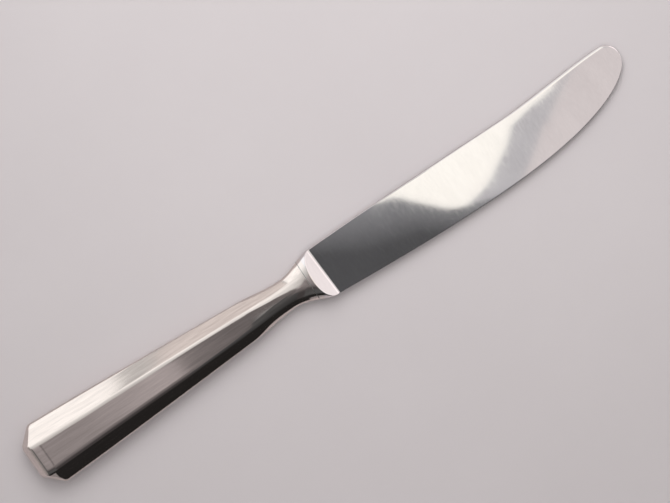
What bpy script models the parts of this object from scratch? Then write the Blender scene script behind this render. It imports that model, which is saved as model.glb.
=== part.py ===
"""Dessert knife with a hollow handle.

One steel forging is the blade, the bolster and the tang. The handle is two stamped half shells soldered
edge to edge, filled with cement that grips the tang, and soldered at its mouth to the bolster.

Metres. The knife lies on its back flat: +X from the butt to the tip, +Y from the edge to the spine, +Z up.
"""

import math

import bmesh
import bpy

# The whole knife
KNIFE_LENGTH = 0.207  # end of the butt to the tip

# Handle, with x counted from the end of the butt
HANDLE_LENGTH = 0.0955  # to the mouth, where the forging begins
BUTT_WIDTH = 0.0201  # where the clipped corners end
BUTT_THICKNESS = 0.0096  # where the flats begin
BUTT_FLAT_WIDTH = 0.0093
BUTT_END_WIDTH = 0.0099  # straight end between the clipped corners
BUTT_CORNER_LENGTH = 0.0054
BUTT_WALL_LEAN = 0.0021  # draft of the end wall, from the seam to its upper edge
BUTT_CORNER_LEAN = 0.0021  # draft of the corner walls, over the same height
BUTT_FLAT_START = 0.005  # the flats slope down from here to the end wall
BUTT_FLAT_DROP = 0.00045
BUTT_TAPER = 0.046  # how fast the half width falls at the butt
SIDE_LAND = 0.002  # height of the narrow upright facet that holds the seam
NECK_LAND = 0.001  # the same where the handle is round
RIDGE_ROUND = 0.0006  # length of the rounding on each side of a ridge

# Neck, counted back from the mouth
NECK_LENGTH = 0.0205  # the facets begin to round off here
NECK_FROM_MOUTH = 0.007  # narrowest place
NECK_START_WIDTH = 0.012
NECK_START_THICKNESS = 0.0066
NECK_START_FLAT_WIDTH = 0.0044
NECK_START_TAPER = 0.064
NECK_WIDTH = 0.0094
NECK_THICKNESS = 0.0054
NECK_ROUND_RUN = 0.019  # from the first softening of the facets to a fully round section
MOUTH_WIDTH = 0.0129
MOUTH_THICKNESS = 0.0063
MOUTH_FLARE = 0.4  # how fast the half width grows at the mouth
MOUTH_RISE = 0.2  # the same for the half thickness

# Bolster
BOLSTER_BAND = 0.0012  # from its back face to the top of the sloping face
BOLSTER_THICKNESS = 0.0069
BOLSTER_RAMP_LENGTH = 0.0034  # along the knife, from the top of the sloping face to the blade
BOLSTER_SQUARENESS = 2.4  # 2 is an ellipse
BOLSTER_ROOT = 0.0016  # length of blade buried in the bolster
BOLSTER_STEP = 0.00006  # how far the blade's outline stands out from the bolster's sides

# Blade, with y counted from the middle of the handle
SPINE_ROOT = 0.00777
SPINE_ROOT_SLOPE = 0.035
SPINE_MIDDLE = 0.00822
SPINE_TIP = 0.0102
SPINE_RISE_LENGTH = 0.041  # from the tip
EDGE_ROOT = -0.00807
EDGE_BELLY = -0.01009
EDGE_ROOT_SLOPE = -0.065
BELLY_FROM_TIP = 0.057
BELLY_FULLNESS = 2.4
NOSE_HEIGHT = 0.00583  # height of the foremost point above the middle of the handle
NOSE_FLAT = 0.0008
TIP_CORNER_LENGTH = 0.004
TIP_CORNER_FULLNESS = 1.6
ROOT_THICKNESS = 0.0022  # at the spine
TIP_THICKNESS = 0.001
EDGE_ROOT_THICKNESS = 0.0009
EDGE_THICKNESS = 0.00024
EDGE_RUN = 0.03  # from the root to where the edge has thinned
SPINE_ROUND_WIDTH = 0.0009
SPINE_BACK = 0.4  # share of the thickness left at the very back of the rounded spine

# Tang
TANG_LENGTH = 0.045  # out of the back of the bolster
TANG_ROOT_WIDTH = 0.006
TANG_ROOT_THICKNESS = 0.003
TANG_END_WIDTH = 0.0042
TANG_END_THICKNESS = 0.0026
TANG_NOTCHES = 4
TANG_NOTCH_PITCH = 0.0075
TANG_NOTCH_WIDTH = 0.0018
TANG_NOTCH_DEPTH = 0.0006

# Joints
SHELL_WALL = 0.0007
SEAM_WIDTH = 0.0002  # between the two half shells
MOUTH_JOINT = 0.0002  # between the mouth and the bolster
SOLDER_GAP = 0.00002
FILLER_GAP = 0.00005

# How finely the shapes are stepped
QUARTER = 8  # sides on a quarter of a round section
FLAT_RUN_STEPS = 5
NECK_STEPS = 11
BOLSTER_STEPS = 6
BLADE_STEPS = 34
FACE_SHARES = (0.3, 0.65, 1.0)  # across a blade face, from the spine's rounding to the edge

SECTION_LAND = SIDE_LAND / 2
ROUND_LAND = NECK_LAND / 2
NECK_START = HANDLE_LENGTH - NECK_LENGTH
NECK_AT = HANDLE_LENGTH - NECK_FROM_MOUTH
BOLSTER_BACK = HANDLE_LENGTH + MOUTH_JOINT
RAMP_TOP = BOLSTER_BACK + BOLSTER_BAND
BLADE_START = RAMP_TOP + BOLSTER_RAMP_LENGTH
CAVITY_START = BUTT_WALL_LEAN + SHELL_WALL
OVERSHOOT = 0.003  # how far cutters run past what they cut


def smoothstep(x, start, end):
    t = min(max((x - start) / (end - start), 0.0), 1.0)
    return t * t * (3 - 2 * t)


def curve(x, stops):
    """Smooth curve through stops of (x, value, slope), straight beyond the first and the last."""
    if x <= stops[0][0]:
        return stops[0][1] + (x - stops[0][0]) * stops[0][2]
    for (x0, v0, m0), (x1, v1, m1) in zip(stops, stops[1:]):
        if x <= x1:
            run = x1 - x0
            t = (x - x0) / run
            return (
                v0 * (2 * t**3 - 3 * t**2 + 1)
                + m0 * run * (t**3 - 2 * t**2 + t)
                + v1 * (3 * t**2 - 2 * t**3)
                + m1 * run * (t**3 - t**2)
            )
    return stops[-1][1] + (x - stops[-1][0]) * stops[-1][2]


def full_half_width(x):
    """Half width of the handle and bolster, before the butt's corners are clipped."""
    return curve(
        x,
        [
            (BUTT_CORNER_LENGTH, BUTT_WIDTH / 2, -BUTT_TAPER),
            (NECK_START, NECK_START_WIDTH / 2, -NECK_START_TAPER),
            (NECK_AT, NECK_WIDTH / 2, 0.0),
            (HANDLE_LENGTH, MOUTH_WIDTH / 2, MOUTH_FLARE),
            (BLADE_START, (SPINE_ROOT - EDGE_ROOT) / 2 - BOLSTER_STEP, 0.0),
        ],
    )


def side_shift(x):
    """How far the bolster leans over to the middle of the blade's root."""
    return (SPINE_ROOT + EDGE_ROOT) / 2 * smoothstep(x, HANDLE_LENGTH, BLADE_START)


def half_width(x):
    share = min(max(x / BUTT_CORNER_LENGTH, 0.0), 1.0)
    return BUTT_END_WIDTH / 2 + (full_half_width(x) - BUTT_END_WIDTH / 2) * share


FLAT_TAPER = (NECK_START_THICKNESS - BUTT_THICKNESS) / 2 / (NECK_START - BUTT_FLAT_START)


def half_thickness(x):
    body = curve(
        x,
        [
            (BUTT_FLAT_START, BUTT_THICKNESS / 2, BUTT_FLAT_DROP / (BUTT_FLAT_START - BUTT_WALL_LEAN)),
            (BUTT_FLAT_START, BUTT_THICKNESS / 2, FLAT_TAPER),
            (NECK_START, NECK_START_THICKNESS / 2, FLAT_TAPER),
            (NECK_AT, NECK_THICKNESS / 2, 0.0),
            (HANDLE_LENGTH, MOUTH_THICKNESS / 2, MOUTH_RISE),
            (RAMP_TOP, BOLSTER_THICKNESS / 2, MOUTH_RISE),
        ],
    )
    share = min(max(x / BUTT_WALL_LEAN, 0.0), 1.0)
    return SECTION_LAND + (body - SECTION_LAND) * share


def flat_half_width(x):
    taper = (NECK_START_FLAT_WIDTH - BUTT_FLAT_WIDTH) / 2 / (NECK_START - BUTT_FLAT_START)
    return max(BUTT_FLAT_WIDTH / 2 + (x - BUTT_FLAT_START) * taper, RIDGE_ROUND)


def faceted_quarter(x):
    """Quarter of the facet-sided section, from the seam (on +y) to the middle of the flat."""
    width = half_width(x)
    height = half_thickness(x)
    flat = flat_half_width(x)
    bevel = (half_thickness(max(x, BUTT_FLAT_START)) - SECTION_LAND) / (full_half_width(x) - flat)
    lean = BUTT_CORNER_LEAN / (BUTT_THICKNESS / 2 - SECTION_LAND) if x < BUTT_CORNER_LENGTH else 0.0
    flat = min(flat, width - lean * (height - SECTION_LAND) - RIDGE_ROUND)
    side_y = (width - lean * (height - SECTION_LAND + bevel * flat)) / (1 - lean * bevel)
    side_y = min(max(side_y, flat + RIDGE_ROUND), width)
    side_z = max(height - (side_y - flat) * bevel, SECTION_LAND)
    run = math.hypot(side_y - flat, height - side_z)
    share = min(RIDGE_ROUND / run, 0.5) if run > 0 else 0.5
    start = (flat + (side_y - flat) * share, height + (side_z - height) * share)
    end = (flat - RIDGE_ROUND, height)
    ridge = (
        0.25 * start[0] + 0.5 * flat + 0.25 * end[0],
        0.25 * start[1] + 0.5 * height + 0.25 * end[1],
    )
    middle = ((side_y + start[0]) / 2, (side_z + start[1]) / 2)
    return [
        (width, 0.0),
        (width, SECTION_LAND),
        (side_y, side_z),
        middle,
        start,
        ridge,
        end,
        (end[0] / 2, height),
        (0.0, height),
    ]


def round_quarter(x):
    """The same quarter where the handle is round: an upright land, then a squarish ellipse."""
    power = 2 / (2 + (BOLSTER_SQUARENESS - 2) * smoothstep(x, NECK_AT, RAMP_TOP))
    width = half_width(x)
    rise = half_thickness(x) - ROUND_LAND
    points = [(width, 0.0)]
    for step in range(QUARTER):
        angle = math.pi / 2 * step / (QUARTER - 1)
        points.append((width * math.cos(angle) ** power, ROUND_LAND + rise * math.sin(angle) ** power))
    points[-1] = (0.0, points[-1][1])
    return points


def quarter(x):
    share = smoothstep(x, HANDLE_LENGTH - NECK_ROUND_RUN - BOLSTER_BAND, HANDLE_LENGTH - BOLSTER_BAND)
    return [
        (a + (c - a) * share, b + (d - b) * share)
        for (a, b), (c, d) in zip(faceted_quarter(x), round_quarter(x))
    ]


def inward(points, inset):
    """Closed convex outline of (y, z), counterclockwise, with every side moved in."""
    moved = []
    for index, (y, z) in enumerate(points):
        normals = []
        for side in (-1, 1):
            y1, z1 = points[(index + side) % len(points)]
            run = math.hypot(y1 - y, z1 - z)
            if run < 1e-9:
                y1, z1 = points[(index + 2 * side) % len(points)]
                run = math.hypot(y1 - y, z1 - z)
            normals.append((side * (z - z1) / run, side * (y1 - y) / run))
        (ay, az), (by, bz) = normals
        scale = inset / (1 + ay * by + az * bz)
        moved.append((y + (ay + by) * scale, z + (az + bz) * scale))
    return moved


def section(x, inset=0.0, at=None):
    """Closed section of the handle or bolster, counterclockwise seen from the tip."""
    side = quarter(x)
    upper = side[1:] + [(-y, z) for y, z in reversed(side[1:-1])]
    lower = [(-y, -z) for y, z in upper]
    outline = upper + lower
    if inset:
        outline = inward(outline, inset)
    return [(x if at is None else at, y + side_shift(x), z) for y, z in outline]


def half_section(x):
    """The upper half of the section, closed along the seam."""
    side = quarter(x)[1:]
    upper = side + [(-y, z) for y, z in reversed(side[:-1])]
    foot = SEAM_WIDTH / 2
    return [(x, y, z) for y, z in [(side[0][0], foot)] + upper + [(-side[0][0], foot)]]


def loft(name, rings):
    """One closed solid through rings of points, capped at both ends."""
    shape = bmesh.new()
    rows = [[shape.verts.new(point) for point in ring] for ring in rings]
    count = len(rows[0])
    for first, second in zip(rows, rows[1:]):
        for index in range(count):
            after = (index + 1) % count
            shape.faces.new((first[index], first[after], second[after], second[index]))
    shape.faces.new(list(reversed(rows[0])))
    shape.faces.new(rows[-1])
    return finish(name, shape)


def finish(name, shape):
    bmesh.ops.remove_doubles(shape, verts=shape.verts, dist=1e-7)
    bmesh.ops.recalc_face_normals(shape, faces=shape.faces)
    mesh = bpy.data.meshes.new(name)
    shape.to_mesh(mesh)
    shape.free()
    mesh.shade_smooth()
    mesh.set_sharp_from_angle(angle=math.radians(28))
    made = bpy.data.objects.new(name, mesh)
    bpy.context.scene.collection.objects.link(made)
    made.parent = knife
    return made


def tool(made):
    made.hide_render = True
    made.display_type = "WIRE"
    return made


def boolean(made, operation, other):
    modifier = made.modifiers.new(f"{operation.lower()} {other.name}", "BOOLEAN")
    modifier.operation = operation
    modifier.solver = "EXACT"
    modifier.object = other


def surface(name, colour, roughness, metallic):
    material = bpy.data.materials.new(name)
    material.use_nodes = True
    shader = material.node_tree.nodes["Principled BSDF"]
    shader.inputs["Base Color"].default_value = (*colour, 1.0)
    shader.inputs["Roughness"].default_value = roughness
    shader.inputs["Metallic"].default_value = metallic
    return material


def spread(start, end, steps):
    return [start + (end - start) * step / steps for step in range(steps + 1)]


def spine_y(x):
    rise_start = KNIFE_LENGTH - SPINE_RISE_LENGTH
    rise_end = KNIFE_LENGTH - TIP_CORNER_LENGTH
    settle = BLADE_START + (rise_start - BLADE_START) / 2
    straight = curve(x, [(BLADE_START, SPINE_ROOT, SPINE_ROOT_SLOPE), (settle, SPINE_MIDDLE, 0.0)])
    back = straight + (SPINE_TIP - straight) * smoothstep(x, rise_start, rise_end)
    share = min(max((x - rise_end) / TIP_CORNER_LENGTH, 0.0), 1.0)
    nose = NOSE_HEIGHT + NOSE_FLAT / 2
    return nose + (back - nose) * math.sqrt(1 - share**TIP_CORNER_FULLNESS)


def edge_y(x):
    belly_at = KNIFE_LENGTH - BELLY_FROM_TIP
    if x <= belly_at:
        return curve(x, [(BLADE_START, EDGE_ROOT, EDGE_ROOT_SLOPE), (belly_at, EDGE_BELLY, 0.0)])
    share = (x - belly_at) / BELLY_FROM_TIP
    nose = NOSE_HEIGHT - NOSE_FLAT / 2
    return nose + (EDGE_BELLY - nose) * math.sqrt(max(1 - share**BELLY_FULLNESS, 0.0))


def blade_section(x):
    """Wedge with a rounded spine and a blunt edge, tucked inside the bolster at the root."""
    spine = spine_y(x)
    edge = edge_y(x)
    if x < BLADE_START:
        inside = full_half_width(x) - ROUND_LAND
        spine = side_shift(x) + inside
        edge = side_shift(x) - inside
    along = (x - BLADE_START) / (KNIFE_LENGTH - BLADE_START)
    thick = (ROOT_THICKNESS + (TIP_THICKNESS - ROOT_THICKNESS) * along) / 2
    thinning = smoothstep(x, BLADE_START, BLADE_START + EDGE_RUN)
    thin = (EDGE_ROOT_THICKNESS + (EDGE_THICKNESS - EDGE_ROOT_THICKNESS) * thinning) / 2
    rounding = min(SPINE_ROUND_WIDTH / (spine - edge), 0.3)
    shares = [0.0, rounding / 3, rounding] + [rounding + (1 - rounding) * part for part in FACE_SHARES]
    front = []
    for share in shares:
        inset = max(1 - share / rounding, 0.0)
        round_off = SPINE_BACK + (1 - SPINE_BACK) * math.sqrt(1 - inset**2)
        wedge = thin + (thick - thin) * (1 - share)
        front.append((x, spine + (edge - spine) * share, wedge * round_off))
    return front + [(a, b, -c) for a, b, c in reversed(front)]


def ramp_cut(name, side):
    """Wedge that leaves the bolster's sloping face on one side of the blade."""
    top = BOLSTER_THICKNESS / 2
    slope = (ROOT_THICKNESS / 2 - top) / BOLSTER_RAMP_LENGTH
    start = RAMP_TOP - OVERSHOOT
    end = BLADE_START + 2 * OVERSHOOT
    profile = [
        (start, top - slope * OVERSHOOT),
        (end, top + slope * (end - RAMP_TOP)),
        (end, 3 * top),
        (start, 3 * top),
    ]
    reach = SPINE_ROOT - EDGE_ROOT
    rings = [[(x, y, side * z) for x, z in profile] for y in (-reach, reach)]
    return tool(loft(name, rings))


def tang_rings(grow, front):
    """Tapering bar with notches across its two narrow sides, out to the given front."""
    end = BOLSTER_BACK - TANG_LENGTH

    def ring(x, notch):
        share = min(max((x - end) / TANG_LENGTH, 0.0), 1.0)
        wide = (TANG_END_WIDTH + (TANG_ROOT_WIDTH - TANG_END_WIDTH) * share) / 2 + grow - notch
        high = (TANG_END_THICKNESS + (TANG_ROOT_THICKNESS - TANG_END_THICKNESS) * share) / 2 + grow
        return [(x, wide, -high), (x, wide, high), (x, -wide, high), (x, -wide, -high)]

    rings = [ring(end - grow, 0.0)]
    for number in range(TANG_NOTCHES):
        start = end + TANG_NOTCH_PITCH * (number + 0.5)
        half = TANG_NOTCH_WIDTH / 2 - grow
        rings.append(ring(start - half - TANG_NOTCH_DEPTH, 0.0))
        rings.append(ring(start - half, TANG_NOTCH_DEPTH))
        rings.append(ring(start + half, TANG_NOTCH_DEPTH))
        rings.append(ring(start + half + TANG_NOTCH_DEPTH, 0.0))
    rings.append(ring(front, 0.0))
    return rings


def flat_band(name, outer, inner, thickness):
    """Flat strip between two open outlines of (x, y), centred on the seam."""
    shape = bmesh.new()
    outline = outer + list(reversed(inner))
    corners = [shape.verts.new((x, y, -thickness / 2)) for x, y in outline]
    face = shape.faces.new(corners)
    grown = bmesh.ops.extrude_face_region(shape, geom=[face])
    raised = [item for item in grown["geom"] if isinstance(item, bmesh.types.BMVert)]
    bmesh.ops.translate(shape, verts=raised, vec=(0.0, 0.0, thickness))
    return finish(name, shape)


def ring_band(name, outer, inner, thickness):
    """Ring between two closed sections, drawn out along the knife."""
    shape = bmesh.new()

    def row(points, move):
        return [shape.verts.new((x + move, y, z)) for x, y, z in points]

    rows = [row(outer, 0.0), row(outer, thickness), row(inner, thickness), row(inner, 0.0)]
    count = len(outer)
    for first, second in zip(rows, rows[1:] + rows[:1]):
        for index in range(count):
            after = (index + 1) % count
            shape.faces.new((first[index], first[after], second[after], second[index]))
    return finish(name, shape)


for old in list(bpy.data.objects):
    bpy.data.objects.remove(old, do_unlink=True)

# The knife lies on the butt's back flat and the back of the bolster, over the middle of its own outline
knife = bpy.data.objects.new("knife", None)
bpy.context.scene.collection.objects.link(knife)
blade_xs = [BLADE_START - BOLSTER_ROOT, BLADE_START - BOLSTER_STEP]
for share in spread(0.0, 1.0, BLADE_STEPS):
    blade_xs.append(BLADE_START + (KNIFE_LENGTH - BLADE_START) * math.sin(math.pi / 2 * share) ** 1.15)
outline_high = max(max(spine_y(x) for x in blade_xs), BUTT_WIDTH / 2)
outline_low = min(min(edge_y(x) for x in blade_xs), -BUTT_WIDTH / 2)
fall = (BUTT_THICKNESS - BOLSTER_THICKNESS) / 2
pitch = math.atan2(fall, RAMP_TOP - BUTT_FLAT_START)
knife.rotation_euler = (0.0, pitch, 0.0)
knife.location = (
    -KNIFE_LENGTH / 2,
    -(outline_high + outline_low) / 2,
    BUTT_FLAT_START * math.sin(pitch) + BUTT_THICKNESS / 2 * math.cos(pitch),
)

steel = surface("blade_steel", (0.62, 0.62, 0.63), 0.16, 1.0)
silver = surface("handle_silver", (0.66, 0.64, 0.61), 0.3, 1.0)
solder = surface("solder", (0.5, 0.49, 0.47), 0.4, 1.0)
cement = surface("cement", (0.46, 0.38, 0.3), 0.9, 0.0)

# Handle shells
butt_xs = [0.0, BUTT_WALL_LEAN, BUTT_FLAT_START, BUTT_CORNER_LENGTH]
handle_xs = sorted(
    set(
        butt_xs
        + spread(max(BUTT_CORNER_LENGTH, BUTT_FLAT_START), NECK_START, FLAT_RUN_STEPS)
        + spread(NECK_START, HANDLE_LENGTH, NECK_STEPS)
    )
)
cavity_xs = [CAVITY_START] + [x for x in handle_xs if x > CAVITY_START + SHELL_WALL]
cavity_rings = [section(x, SHELL_WALL) for x in cavity_xs]
cavity_rings.append(section(HANDLE_LENGTH, SHELL_WALL, HANDLE_LENGTH + OVERSHOOT))
cavity = tool(loft("cavity_cut", cavity_rings))

front_shell = loft("handle_front_shell", [half_section(x) for x in handle_xs])
back_shell = bpy.data.objects.new("handle_back_shell", front_shell.data)
bpy.context.scene.collection.objects.link(back_shell)
back_shell.parent = knife
back_shell.rotation_euler = (math.pi, 0.0, 0.0)
for shell in (front_shell, back_shell):
    boolean(shell, "DIFFERENCE", cavity)
front_shell.data.materials.append(silver)

# Solder along the seam and round the mouth
seam_outer = [(x, half_width(x)) for x in reversed(handle_xs)]
seam_outer += [(x, -y) for x, y in reversed(seam_outer)]
seam_inner = [(x, half_width(x) - SHELL_WALL) for x in reversed(cavity_xs)]
seam_inner += [(x, -y) for x, y in reversed(seam_inner)]
seam = flat_band("seam_solder", seam_outer, seam_inner, SEAM_WIDTH - 2 * SOLDER_GAP)
seam.data.materials.append(solder)

mouth = ring_band(
    "mouth_solder",
    section(HANDLE_LENGTH, 0.0, HANDLE_LENGTH + SOLDER_GAP),
    section(HANDLE_LENGTH, SHELL_WALL, HANDLE_LENGTH + SOLDER_GAP),
    MOUTH_JOINT - 2 * SOLDER_GAP,
)
mouth.data.materials.append(solder)

# Cement core with the socket that the tang sits in
core_rings = [section(CAVITY_START, SHELL_WALL + FILLER_GAP, CAVITY_START + FILLER_GAP)]
core_rings += [section(x, SHELL_WALL + FILLER_GAP) for x in cavity_xs[1:]]
filler = loft("handle_filler", core_rings)
socket = tool(loft("tang_socket_cut", tang_rings(FILLER_GAP, HANDLE_LENGTH + OVERSHOOT)))
boolean(filler, "DIFFERENCE", socket)
filler.data.materials.append(cement)

# Forging
bolster_xs = spread(BOLSTER_BACK, BLADE_START, BOLSTER_STEPS) + [BLADE_START + OVERSHOOT]
bolster = tool(loft("bolster_form", [section(x) for x in bolster_xs]))
for side_name, side in (("front", 1), ("back", -1)):
    boolean(bolster, "DIFFERENCE", ramp_cut(f"ramp_{side_name}_cut", side))
tang = tool(loft("tang_form", tang_rings(0.0, RAMP_TOP)))
blade = loft("blade", [blade_section(x) for x in blade_xs])
boolean(blade, "UNION", bolster)
boolean(blade, "UNION", tang)
blade.data.materials.append(steel)
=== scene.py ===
# %% [markdown]
# # A dessert knife, dressed piece by piece
#
# The knife lies flat on a pale table. It is a hollow-handled knife: two stamped half shells make the
# handle, solder closes their seam, cement fills them, and one steel forging is the bolster and the blade.
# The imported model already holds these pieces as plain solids. This lesson loads them as a fixed frame and
# then dresses each one with a finer shape and a finish that shows how it was made.

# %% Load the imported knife
import math

import bpy
import numpy as np
from mathutils import Euler, Matrix, Vector


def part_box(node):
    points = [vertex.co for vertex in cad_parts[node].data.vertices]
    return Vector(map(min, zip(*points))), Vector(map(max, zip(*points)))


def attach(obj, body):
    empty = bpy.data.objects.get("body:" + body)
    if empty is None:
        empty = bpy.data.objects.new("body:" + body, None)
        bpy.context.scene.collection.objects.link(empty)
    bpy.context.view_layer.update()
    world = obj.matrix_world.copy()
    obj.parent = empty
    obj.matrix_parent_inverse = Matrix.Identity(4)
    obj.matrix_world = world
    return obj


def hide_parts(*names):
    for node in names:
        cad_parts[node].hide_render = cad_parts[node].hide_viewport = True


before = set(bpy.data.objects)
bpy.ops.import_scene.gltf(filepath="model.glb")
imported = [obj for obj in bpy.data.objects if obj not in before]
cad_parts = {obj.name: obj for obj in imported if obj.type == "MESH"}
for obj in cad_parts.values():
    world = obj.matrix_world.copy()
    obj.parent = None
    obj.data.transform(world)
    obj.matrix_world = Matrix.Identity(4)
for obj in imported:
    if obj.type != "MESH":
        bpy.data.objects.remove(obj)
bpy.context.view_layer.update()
print("pieces in the frame:", sorted(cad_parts))

# %% [markdown]
# ## The knife's own ruler
#
# A maker measures a knife from the end of the butt, from the middle line, and from the seam. The same
# ruler is used here, in millimetres, and one function lays its points into the frame. The knife lies on
# its butt and on its bolster, which is thinner, so the ruler dips a little towards the tip.

# %% Ruler
MM = 0.001
KNIFE_LENGTH = 207.0
FLAT_START, RAMP_TOP = 5.0, 96.9  # where the handle's flat begins, and where the bolster's slope does
BUTT_HALF_THICKNESS, BOLSTER_HALF_THICKNESS = 4.8, 3.45
DIP = math.atan2(BUTT_HALF_THICKNESS - BOLSTER_HALF_THICKNESS, RAMP_TOP - FLAT_START)
LIE = np.array([[math.cos(DIP), 0, math.sin(DIP)], [0, 1, 0], [-math.sin(DIP), 0, math.cos(DIP)]])
shell_low, shell_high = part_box("handle_front_shell")
seat = FLAT_START * math.sin(DIP) + BUTT_HALF_THICKNESS * math.cos(DIP)
RULER_ZERO = np.array([-KNIFE_LENGTH / 2 * MM, (shell_low.y + shell_high.y) / 2, seat * MM])


def on_ruler(points):
    """Points in millimetres on the knife's ruler, as metres in the frame."""
    return np.asarray(points, float) @ LIE.T * MM + RULER_ZERO


print("ruler zero in the frame, in mm:", np.round(RULER_ZERO / MM, 3), "dip:", round(math.degrees(DIP), 2))

# %% [markdown]
# ## The camera
#
# The photograph looks almost straight down, with the knife turned about a third of a right angle. A long
# lens from a little over half a metre keeps the two ends of the knife nearly the same scale.

# %% Camera
VIEW_CENTRE = (106.83, 2.77, 0.0)  # the point of the knife's middle plane under the middle of the picture
VIEW_WIDTH = 193.97  # how much of that plane the picture's width takes in
VIEW_TURN = math.radians(-33.456)
VIEW_TILT = math.radians(8.5)  # how far the camera stands over the spine's side of the knife
VIEW_DISTANCE = 550.0
SENSOR = 36.0


def in_scene(name, data):
    """A new object in the scene, made of the given data."""
    made = bpy.data.objects.new(name, data)
    bpy.context.scene.collection.objects.link(made)
    return made


camera = in_scene("camera", bpy.data.cameras.new("camera"))
camera.data.sensor_width = SENSOR
camera.data.lens = SENSOR * VIEW_DISTANCE / VIEW_WIDTH
camera.data.clip_start = 0.01
camera_way = np.array([0, math.sin(VIEW_TILT), math.cos(VIEW_TILT)])
camera.location = on_ruler(VIEW_CENTRE + camera_way * VIEW_DISTANCE)
camera.rotation_euler = (Matrix(LIE) @ Euler((-VIEW_TILT, 0, VIEW_TURN), "ZYX").to_matrix()).to_euler()
bpy.context.scene.camera = camera
bpy.context.scene.view_settings.view_transform = "Standard"
print("lens in mm:", round(camera.data.lens, 1))

# %% [markdown]
# ## Node sums that read like sums
#
# Finishes and rules are both written as nodes. Adding each Math node by hand hides the idea behind the
# wiring, so one small class stands for a socket: an expression on it adds the nodes that it needs, and
# one method makes any other node. It works in a material and in a Geometry Nodes tree alike.


# %% Wires
class Wire:
    """A socket that can be used in an expression."""

    def __init__(self, tree, socket=None):
        self.tree, self.socket = tree, socket

    def node(self, kind, settings=None, sockets=None, out=0):
        """A new node: its settings first, then the value or the wire of each socket."""
        made = self.tree.nodes.new(kind)
        for name, value in (settings or {}).items():
            setattr(made, name, value)
        for key, value in (sockets or {}).items():
            if isinstance(value, Wire):
                self.tree.links.new(value.socket, made.inputs[key])
            else:
                made.inputs[key].default_value = value
        return Wire(self.tree, made.outputs[out]) if made.outputs else made

    def maths(self, operation, *values):
        return self.node("ShaderNodeMath", {"operation": operation}, dict(enumerate(values)))


SUMS = {"add": "ADD", "sub": "SUBTRACT", "mul": "MULTIPLY", "truediv": "DIVIDE", "pow": "POWER"}
for sign, operation in SUMS.items():
    setattr(Wire, f"__{sign}__", lambda self, other, kind=operation: self.maths(kind, self, other))
    setattr(Wire, f"__r{sign}__", lambda self, other, kind=operation: self.maths(kind, other, self))
print("sums that a wire can write:", list(SUMS))

# %% [markdown]
# ## What every finish needs
#
# Worked metal shows the lines of the tool, which are never quite even. Noise that is stretched along one
# way of the piece looks like them and needs no picture, so each finish below mixes its colour, its
# roughness and a very shallow relief from such noises.

# %% Finish helpers
MIX_SHARE, MIX_FIRST, MIX_SECOND, MIX_COLOUR = 0, 6, 7, 2  # sockets of a Mix node that mixes colours


def new_finish(name):
    """An empty material and the wire that its nodes start from."""
    material = bpy.data.materials.new(name)
    material.use_nodes = True
    material.node_tree.nodes.clear()
    return material, Wire(material.node_tree)


def fine_lines(start, stretch, detail=3.0, seed=0.0):
    """Noise drawn out along one way of the piece, which gives grinding or brushing lines."""
    place = start.node("ShaderNodeTexCoord", out="Object")
    drawn = start.node(
        "ShaderNodeMapping", {}, {"Vector": place, "Scale": stretch, "Location": (seed, seed, seed)}
    )
    noise = start.node(
        "ShaderNodeTexNoise", {}, {"Vector": drawn, "Scale": 1.0, "Detail": detail, "Roughness": 0.6}, "Fac"
    )
    return start.node("ShaderNodeMapRange", {}, {"Value": noise, "From Min": 0.3, "From Max": 0.7})


def blend_colours(start, share, first, second):
    """A colour between two others, each of them three numbers or a wire."""
    ends = {MIX_FIRST: first, MIX_SECOND: second}
    ends = {key: end if isinstance(end, Wire) else (*end, 1.0) for key, end in ends.items()}
    return start.node("ShaderNodeMix", {"data_type": "RGBA"}, {MIX_SHARE: share, **ends}, out=MIX_COLOUR)


def finish_surface(start, colour, roughness, relief, depth, metallic=1.0):
    """A shader whose colour, roughness and fine relief, in metres, change over the surface."""
    bump = start.node("ShaderNodeBump", {}, {"Height": relief, "Distance": depth, "Strength": 1.0})
    shader = start.node(
        "ShaderNodeBsdfPrincipled",
        {},
        {"Base Color": colour, "Metallic": metallic, "Roughness": roughness, "Normal": bump},
    )
    start.node("ShaderNodeOutputMaterial", {}, {"Surface": shader})


def along_knife(start, begin, end):
    """0 before one place on the ruler and 1 after another, on the surface itself."""
    place = start.node("ShaderNodeTexCoord", out="Object")
    x = start.node("ShaderNodeSeparateXYZ", {}, {0: place}, "X")
    reach = {"From Min": RULER_ZERO[0] + begin * MM, "From Max": RULER_ZERO[0] + end * MM}
    return start.node("ShaderNodeMapRange", {}, {"Value": x, **reach})


print("the ruler on a surface begins at", round(float(RULER_ZERO[0]), 4), "m")

# %% [markdown]
# ## Silver satin for the handle
#
# The handle was brushed along its length, so its reflections are soft and carry faint streaks from the
# butt to the neck. Two noises drawn out along the knife give the streaks: a coarse one tints and clouds
# the silver and lifts it very slightly, and a fine one is the brushing itself, in the roughness. The neck
# looks duller, as if a brush had hardly reached it.

# %% Handle silver
SILVER_DARK, SILVER_LIGHT = (0.63, 0.556, 0.524), (0.75, 0.664, 0.624)
STREAK_DEPTH = 0.0000015
NECK_SATIN = 0.045  # how much rougher the neck and the bolster are
DULLER_OVER = (84.0, 92.0)

handle_silver, start = new_finish("handle_silver")
streaks = fine_lines(start, (70.0, 1500.0, 1500.0), seed=3.0)
brushing = fine_lines(start, (120.0, 9000.0, 9000.0), seed=11.0)
neck_satin = along_knife(start, *DULLER_OVER)
finish_surface(
    start,
    blend_colours(start, streaks, SILVER_DARK, SILVER_LIGHT),
    0.05 + 0.03 * streaks + 0.02 * brushing + NECK_SATIN * neck_satin,
    streaks,
    STREAK_DEPTH,
)
print("handle finish nodes:", len(handle_silver.node_tree.nodes))

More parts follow.
